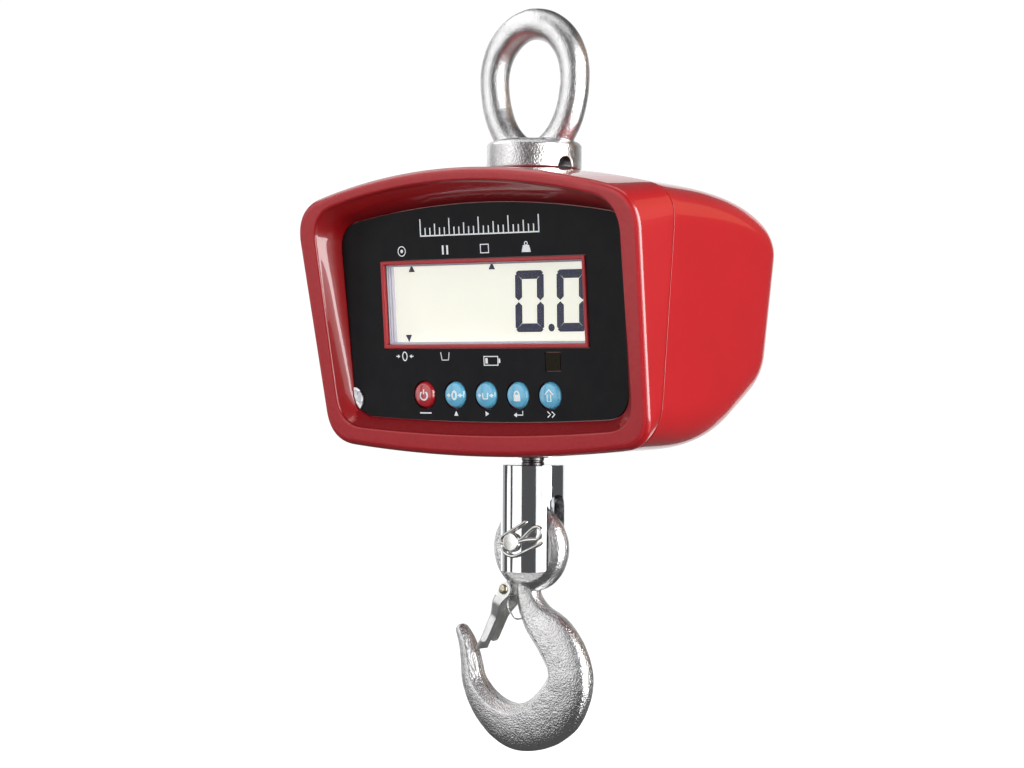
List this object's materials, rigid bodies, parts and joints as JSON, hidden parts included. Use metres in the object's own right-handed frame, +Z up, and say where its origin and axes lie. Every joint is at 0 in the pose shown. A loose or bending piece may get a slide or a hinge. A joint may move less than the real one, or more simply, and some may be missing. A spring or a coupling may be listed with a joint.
{
  "type": "crane scale",
  "caption": "Hanging electronic scale: lifting eye on top, red casing with a recessed display and keys, swivelling clevis and a load hook with a sprung safety latch below.",
  "frame": {"origin": "crown of the lifting eye's hole, where a carrying hook bears", "axes": "+Z up along the load axis, the display faces -Y, +X is to the right of a person reading it"},
  "size_m": [0.1996, 0.1191, 0.3454],
  "materials": {
    "red_paint": "gloss",
    "forged_zinc": "satin, grainy forged surface",
    "chrome": "polished",
    "dark_steel": "satin",
    "zinc_plate": "satin",
    "cell_alloy": "satin",
    "rubber": "matte",
    "black_overlay": "satin",
    "clear_window": "gloss",
    "lcd_glass": "satin",
    "white_plastic": "matte",
    "black_plastic": "matte",
    "smoked_window": "gloss",
    "seal_foil": "brushed",
    "circuit_board": "satin",
    "blue_key": "gloss",
    "red_key": "gloss",
    "bronze": "satin"
  },
  "bodies": {
    "scale_body": {"lifting_eye": "forged_zinc", "eye_set_screw": "dark_steel", "eye_seal": "rubber", "upper_lock_nut": "zinc_plate", "load_cell": "cell_alloy", "swivel_bolt": "dark_steel", "lower_lock_nut": "zinc_plate", "stud_grommet": "rubber", "front_casing": "red_paint", "rear_casing": "red_paint", "casing_gasket": "rubber", "casing_screw_1": "zinc_plate", "casing_screw_2": "zinc_plate", "casing_screw_3": "zinc_plate", "casing_screw_4": "zinc_plate", "front_overlay": "black_overlay", "display_window": "clear_window", "ir_window": "smoked_window", "calibration_seal": "seal_foil", "lcd_panel": "lcd_glass", "lcd_backlight": "white_plastic", "lcd_holder": "black_plastic", "main_board": "circuit_board", "board_screw_1": "zinc_plate", "board_screw_2": "zinc_plate", "board_screw_3": "zinc_plate", "board_screw_4": "zinc_plate", "ir_receiver": "black_plastic", "switch_power": "black_plastic", "switch_zero": "black_plastic", "switch_tare": "black_plastic", "switch_hold": "black_plastic", "switch_second": "black_plastic", "battery_box": "black_plastic", "battery": "black_plastic", "battery_cover": "red_paint", "cover_screw_1": "zinc_plate", "cover_screw_2": "zinc_plate", "charge_socket": "black_plastic", "load_cell_cable": "rubber", "battery_lead": "rubber"},
    "key_power": {"button_power": "red_key"},
    "key_zero": {"button_zero": "blue_key"},
    "key_tare": {"button_tare": "blue_key"},
    "key_hold": {"button_hold": "blue_key"},
    "key_second": {"button_second": "blue_key"},
    "swivel": {"clevis": "chrome", "thrust_washer": "bronze", "clevis_pin": "chrome", "hairpin_clip": "zinc_plate"},
    "hook_body": {"hook": "forged_zinc", "latch_pin": "bronze", "latch_spring": "zinc_plate"},
    "latch": {"safety_latch": "zinc_plate"}
  },
  "joints": [
    {"name": "press_power", "type": "slide", "parent": "scale_body", "child": "key_power", "axis": [0, 0.9966, 0.0824], "range_m": [0, 0.0008], "stiffness_N_per_m": 1500, "springref_m": -0.0002},
    {"name": "press_zero", "type": "slide", "parent": "scale_body", "child": "key_zero", "axis": [0, 0.9966, 0.0824], "range_m": [0, 0.0008], "stiffness_N_per_m": 1500, "springref_m": -0.0002},
    {"name": "press_tare", "type": "slide", "parent": "scale_body", "child": "key_tare", "axis": [0, 0.9966, 0.0824], "range_m": [0, 0.0008], "stiffness_N_per_m": 1500, "springref_m": -0.0002},
    {"name": "press_hold", "type": "slide", "parent": "scale_body", "child": "key_hold", "axis": [0, 0.9966, 0.0824], "range_m": [0, 0.0008], "stiffness_N_per_m": 1500, "springref_m": -0.0002},
    {"name": "press_second", "type": "slide", "parent": "scale_body", "child": "key_second", "axis": [0, 0.9966, 0.0824], "range_m": [0, 0.0008], "stiffness_N_per_m": 1500, "springref_m": -0.0002},
    {"name": "clevis_swivel", "type": "hinge", "parent": "scale_body", "child": "swivel", "pos_m": [0, 0, -0.2045], "axis": [0, 0, 1], "continuous": true},
    {"name": "hook_swing", "type": "hinge", "parent": "swivel", "child": "hook_body", "pos_m": [0, 0, -0.2328], "axis": [0, 1, 0], "range_deg": [-25, 25]},
    {"name": "latch_open", "type": "hinge", "parent": "hook_body", "child": "latch", "pos_m": [-0.0114, 0, -0.2554], "axis": [0, -1, 0], "range_deg": [0, 48], "stiffness_Nm_per_rad": 0.012, "springref_deg": -34.38, "deforming": ["latch_spring"]}
  ]
}
